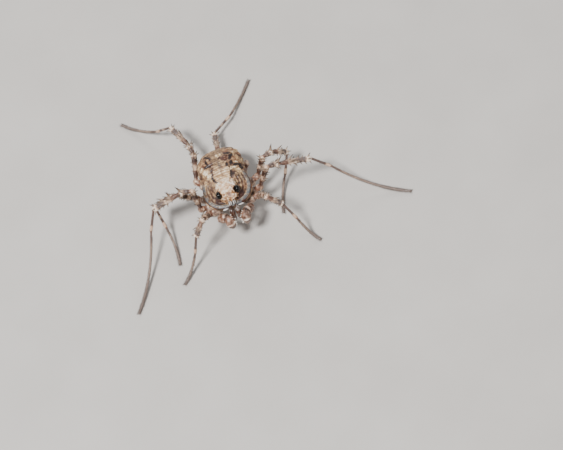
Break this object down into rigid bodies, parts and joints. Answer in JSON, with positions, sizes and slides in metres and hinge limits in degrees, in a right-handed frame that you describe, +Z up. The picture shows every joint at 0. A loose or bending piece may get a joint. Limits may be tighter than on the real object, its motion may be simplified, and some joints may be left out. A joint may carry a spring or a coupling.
{
  "type": "harvestman",
  "caption": "Life-size still model of a short-legged harvestman standing on the floor, with banded legs, stout spines and a broad eye mound.",
  "frame": {"origin": "middle of the floor under the whole animal's box, at the level of its feet", "axes": "+Z up from the floor, the head looks along -Y, the animal's own left side is +X"},
  "size_m": [0.0288, 0.0212, 0.0067],
  "materials": {
    "shell": "mottled brown, cream and grey skin, satin",
    "eye_mound": "pale cream granular skin",
    "eye": "glossy black",
    "jaw": "glossy grey with dark stripes",
    "palp": "pinkish brown with pale rims, satin",
    "coxa": "pinkish brown, satin",
    "leg": "dark brown with pale bands and white joints",
    "tarsus": "grey, finely hairy"
  },
  "bodies": {
    "root": {"prosoma": "shell", "opisthosoma": "shell", "ocularium": "eye_mound", "eye_right": "eye", "eye_left": "eye", "chelicera_right": "jaw", "pedipalp_right_femur": "palp", "pedipalp_right_tarsus": "palp", "chelicera_left": "jaw", "pedipalp_left_femur": "palp", "pedipalp_left_tarsus": "palp", "leg_right_1_coxa": "coxa", "leg_right_1_femur": "leg", "leg_right_1_patella": "leg", "leg_right_1_tibia": "leg", "leg_right_1_metatarsus": "leg", "leg_right_1_tarsus": "tarsus", "leg_right_2_coxa": "coxa", "leg_right_2_femur": "leg", "leg_right_2_patella": "leg", "leg_right_2_tibia": "leg", "leg_right_2_metatarsus": "leg", "leg_right_2_tarsus": "tarsus", "leg_right_3_coxa": "coxa", "leg_right_3_femur": "leg", "leg_right_3_patella": "leg", "leg_right_3_tibia": "leg", "leg_right_3_metatarsus": "leg", "leg_right_3_tarsus": "tarsus", "leg_right_4_coxa": "coxa", "leg_right_4_femur": "leg", "leg_right_4_patella": "leg", "leg_right_4_tibia": "leg", "leg_right_4_metatarsus": "leg", "leg_right_4_tarsus": "tarsus", "leg_left_1_coxa": "coxa", "leg_left_1_femur": "leg", "leg_left_1_patella": "leg", "leg_left_1_tibia": "leg", "leg_left_1_metatarsus": "leg", "leg_left_1_tarsus": "tarsus", "leg_left_2_coxa": "coxa", "leg_left_2_femur": "leg", "leg_left_2_patella": "leg", "leg_left_2_tibia": "leg", "leg_left_2_metatarsus": "leg", "leg_left_2_tarsus": "tarsus", "leg_left_3_coxa": "coxa", "leg_left_3_femur": "leg", "leg_left_3_patella": "leg", "leg_left_3_tibia": "leg", "leg_left_3_metatarsus": "leg", "leg_left_3_tarsus": "tarsus", "leg_left_4_coxa": "coxa", "leg_left_4_femur": "leg", "leg_left_4_patella": "leg", "leg_left_4_tibia": "leg", "leg_left_4_metatarsus": "leg", "leg_left_4_tarsus": "tarsus"}
  },
  "joints": []
}
